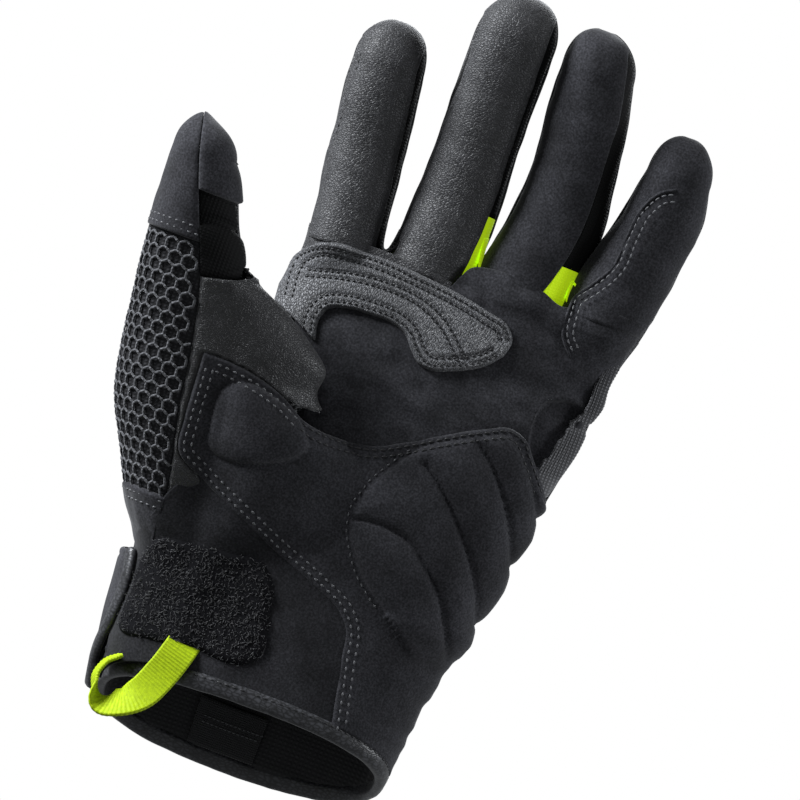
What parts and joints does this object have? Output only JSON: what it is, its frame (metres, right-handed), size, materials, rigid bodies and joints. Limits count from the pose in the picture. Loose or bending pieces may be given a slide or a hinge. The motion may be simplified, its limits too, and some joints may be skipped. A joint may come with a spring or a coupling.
{
  "type": "motorcycle glove",
  "caption": "Left short-cuff motorcycle glove, hollow, filled out as worn, with padded suede palm, leather fingers, mesh thumb, hook-and-loop wrist closure and pull tab.",
  "frame": {"origin": "centre of the wrist opening, where the glove sits on the wrist, halfway up its slanting rim", "axes": "+Z along the hand to the fingertips, -Y out of the palm, -X towards the thumb"},
  "size_m": [0.1652, 0.0914, 0.2675],
  "materials": {
    "suede": "matt charcoal microsuede with a fine nap",
    "leather": "black grained leather, soft sheen",
    "grey_leather": "dark grey grained leather",
    "stretch_cloth": "smooth black stretch cloth",
    "mesh_cloth": "black honeycomb mesh with grey threads",
    "ribbed_knit": "black ribbed knit",
    "loop_pile": "black loop pile of a hook-and-loop closure",
    "neon_cloth": "neon yellow stretch cloth",
    "neon_webbing": "neon yellow ribbed webbing",
    "lining": "black woven lining",
    "label": "plain woven label, bare"
  },
  "bodies": {
    "root": {"palm_lower": "suede", "palm_upper": "suede", "wrist_panel": "suede", "side_patch": "suede", "thumb_cap_left": "suede", "thumb_cap_right": "suede", "thenar_pad": "suede", "hypothenar_pad": "suede", "little_overlay": "suede", "index_front": "leather", "middle_front": "leather", "index_back": "leather", "middle_back": "leather", "ring_back": "leather", "little_back": "leather", "hand_back": "leather", "thumb_leather": "leather", "thumb_back": "leather", "closure_strap": "leather", "knuckle_bar": "grey_leather", "cuff_binding": "grey_leather", "strap_binding": "grey_leather", "thumb_band": "stretch_cloth", "thumb_mesh": "mesh_cloth", "side_knit": "ribbed_knit", "loop_patch": "loop_pile", "fourchette_index_middle": "neon_cloth", "fourchette_middle_ring": "neon_cloth", "fourchette_ring_little": "neon_cloth", "pull_tab": "neon_webbing", "cuff_lining": "lining", "size_label": "label"}
  },
  "joints": []
}
